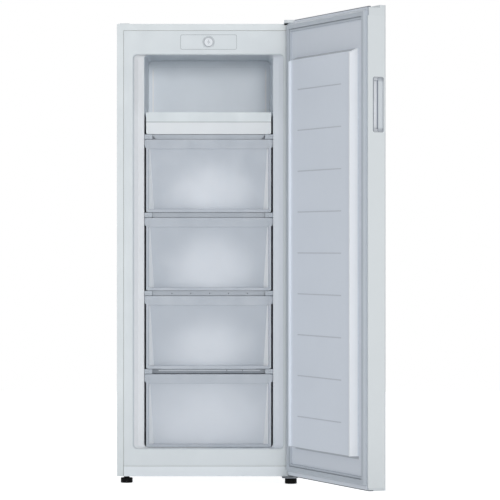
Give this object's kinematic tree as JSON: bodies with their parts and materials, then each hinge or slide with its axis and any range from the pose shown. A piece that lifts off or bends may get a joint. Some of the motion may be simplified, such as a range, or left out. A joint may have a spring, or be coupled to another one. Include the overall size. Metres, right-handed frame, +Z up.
{
  "type": "upright freezer",
  "caption": "Tall white single-door upright freezer with pull-out drawers, an open tray, a control knob and a side-hinged insulated door, stored with the door open.",
  "frame": {"origin": "on the floor, under the middle of the cabinet's front face", "axes": "+X to the right seen from the front, +Y from the front face to the back, +Z up"},
  "size_m": [0.7823, 1.038, 1.402],
  "materials": {
    "white_steel": "smooth white enamel",
    "zinc_sheet": "plain coated sheet",
    "white_plastic": "moulded white plastic",
    "liner_plastic": "vacuum-formed white plastic",
    "drawer_plastic": "moulded white plastic",
    "grey_rubber": "soft pale grey seal",
    "magnet_strip": "dark magnet strip",
    "foam": "rigid foam",
    "bare_steel": "zinc plated steel",
    "tube_white": "white coated steel tube",
    "black_steel": "black enamel",
    "black_plastic": "black moulded plastic",
    "black_rubber": "black rubber",
    "copper": "drawn copper tube"
  },
  "bodies": {
    "cabinet": {"outer_casing": "white_steel", "back_panel": "zinc_sheet", "front_plinth": "white_plastic", "base_pan": "zinc_sheet", "inner_liner": "liner_plastic", "control_housing": "white_plastic", "control_fascia": "white_plastic", "thermostat": "black_plastic", "condenser_coil_left": "black_steel", "condenser_coil_right": "black_steel", "cooling_tubes": "tube_white", "shelf_wires": "tube_white", "upper_shelf_trims": "white_plastic", "slotted_shelf_trim": "white_plastic", "top_hinge_bracket": "bare_steel", "top_hinge_pin": "bare_steel", "top_hinge_screws": "bare_steel", "hinge_plate": "bare_steel", "hinge_cover": "white_plastic", "hinge_blank_cap": "white_plastic", "bottom_hinge_bracket": "bare_steel", "bottom_hinge_pin": "bare_steel", "bottom_hinge_bolts": "bare_steel", "foot_nuts": "bare_steel", "rear_feet": "black_plastic", "compressor_rail": "zinc_sheet", "compressor": "black_steel", "compressor_grommets": "black_rubber", "compressor_bolts": "bare_steel", "terminal_cover": "black_plastic", "discharge_pipe": "copper", "suction_pipe": "copper", "filter_drier": "copper", "cabinet_foam": "foam"},
    "door": {"door_skin": "white_steel", "handle_cup": "white_plastic", "door_liner": "liner_plastic", "door_gasket": "grey_rubber", "gasket_magnets": "magnet_strip", "door_top_cap": "white_plastic", "door_bottom_cap": "white_plastic", "top_hinge_bush": "black_plastic", "bottom_hinge_bush": "black_plastic", "door_foam": "foam"},
    "knob": {"temperature_knob": "white_plastic"},
    "tray": {"tray_front": "drawer_plastic", "tray_tub": "drawer_plastic"},
    "front_left_foot": {"front_left_foot": "black_plastic"},
    "front_right_foot": {"front_right_foot": "black_plastic"},
    "drawer_1": {"drawer_1_front": "drawer_plastic", "drawer_1_tub": "drawer_plastic"},
    "drawer_2": {"drawer_2_front": "drawer_plastic", "drawer_2_tub": "drawer_plastic"},
    "drawer_3": {"drawer_3_front": "drawer_plastic", "drawer_3_tub": "drawer_plastic"},
    "drawer_4": {"drawer_4_front": "drawer_plastic", "drawer_4_tub": "drawer_plastic"}
  },
  "joints": [
    {"name": "door_hinge", "type": "hinge", "parent": "cabinet", "child": "door", "pos_m": [0.263, -0.031, 0.71], "axis": [0, 0, 1], "range_deg": [-113, 12]},
    {"name": "knob_turn", "type": "hinge", "parent": "cabinet", "child": "knob", "pos_m": [0, 0, 1.3374], "axis": [0, 1, 0], "range_deg": [-135, 135]},
    {"name": "tray_slide", "type": "slide", "parent": "cabinet", "child": "tray", "axis": [0, -1, 0], "range_m": [0, 0.3]},
    {"name": "drawer_1_slide", "type": "slide", "parent": "cabinet", "child": "drawer_1", "axis": [0, -1, 0], "range_m": [0, 0.3]},
    {"name": "drawer_2_slide", "type": "slide", "parent": "cabinet", "child": "drawer_2", "axis": [0, -1, 0], "range_m": [0, 0.3]},
    {"name": "drawer_3_slide", "type": "slide", "parent": "cabinet", "child": "drawer_3", "axis": [0, -1, 0], "range_m": [0, 0.3]},
    {"name": "drawer_4_slide", "type": "slide", "parent": "cabinet", "child": "drawer_4", "axis": [0, -1, 0], "range_m": [0, 0.15]},
    {"name": "left_foot_turn", "type": "hinge", "parent": "cabinet", "child": "front_left_foot", "pos_m": [-0.2495, 0.048, 0], "axis": [0, 0, 1], "continuous": true},
    {"name": "right_foot_turn", "type": "hinge", "parent": "cabinet", "child": "front_right_foot", "pos_m": [0.2495, 0.012, 0], "axis": [0, 0, 1], "continuous": true}
  ]
}
